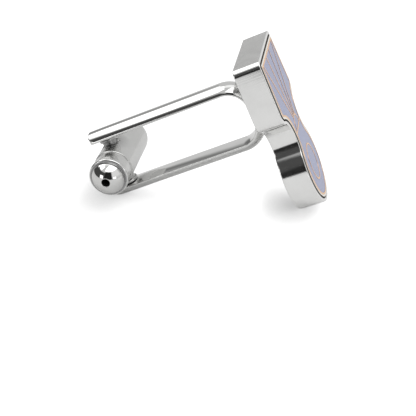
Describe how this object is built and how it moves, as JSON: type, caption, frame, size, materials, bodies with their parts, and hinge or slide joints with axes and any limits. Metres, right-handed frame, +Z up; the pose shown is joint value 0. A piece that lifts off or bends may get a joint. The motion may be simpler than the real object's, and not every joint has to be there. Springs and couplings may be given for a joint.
{
  "type": "cufflink",
  "caption": "Bullet back cufflink: a plated head with an enamelled face on a bent half round frame, with a toggle that swivels between the arms.",
  "frame": {"origin": "middle of the box's base, on the table that the cufflink stands on", "axes": "+X from the toggle to the head, +Y from the ball to the barrel of the toggle, +Z up; it stands as in the picture, on the cut tips of the lower arm and on the foot of the head, so the arms rise 24.47 degrees towards the head"},
  "size_m": [0.0308, 0.0158, 0.0209],
  "materials": {
    "satin_metal": "bright plating, with the fine lines that its side was finished with",
    "polished_metal": "mirror polished plating",
    "barrel_metal": "smooth satin",
    "solder": "plated over, smooth",
    "pin_steel": "turned and plated",
    "copper_line": "polished copper colour",
    "white_enamel": "glossy warm white enamel",
    "blue_enamel": "glossy lavender blue enamel",
    "plunger_brass": "turned",
    "spring_wire": "drawn wire"
  },
  "bodies": {
    "frame": {"head_case": "satin_metal", "white_border": "white_enamel", "face_plate": "copper_line", "enamel_fan_middle": "blue_enamel", "enamel_fan_left": "blue_enamel", "enamel_fan_right": "blue_enamel", "enamel_side_left": "blue_enamel", "enamel_side_right": "blue_enamel", "enamel_fan_hub": "blue_enamel", "enamel_ring": "blue_enamel", "enamel_disc": "blue_enamel", "arm_frame": "polished_metal", "solder_bead": "solder", "pivot_pin": "pin_steel"},
    "toggle": {"toggle_core": "polished_metal", "toggle_barrel": "barrel_metal", "ball_cap": "polished_metal", "detent_spring": "spring_wire", "upper_bushing": "pin_steel", "lower_bushing": "pin_steel"},
    "plunger": {"detent_plunger": "plunger_brass"}
  },
  "joints": [
    {"name": "toggle_swivel", "type": "hinge", "parent": "frame", "child": "toggle", "pos_m": [-0.01176, -0.0009, 0.00471], "axis": [-0.4142, 0, 0.9102], "continuous": true},
    {"name": "plunger_slide", "type": "slide", "parent": "toggle", "child": "plunger", "axis": [0, -1, 0], "range_m": [0, 0.0001], "stiffness_N_per_m": 50, "springref_m": -0.0003}
  ]
}
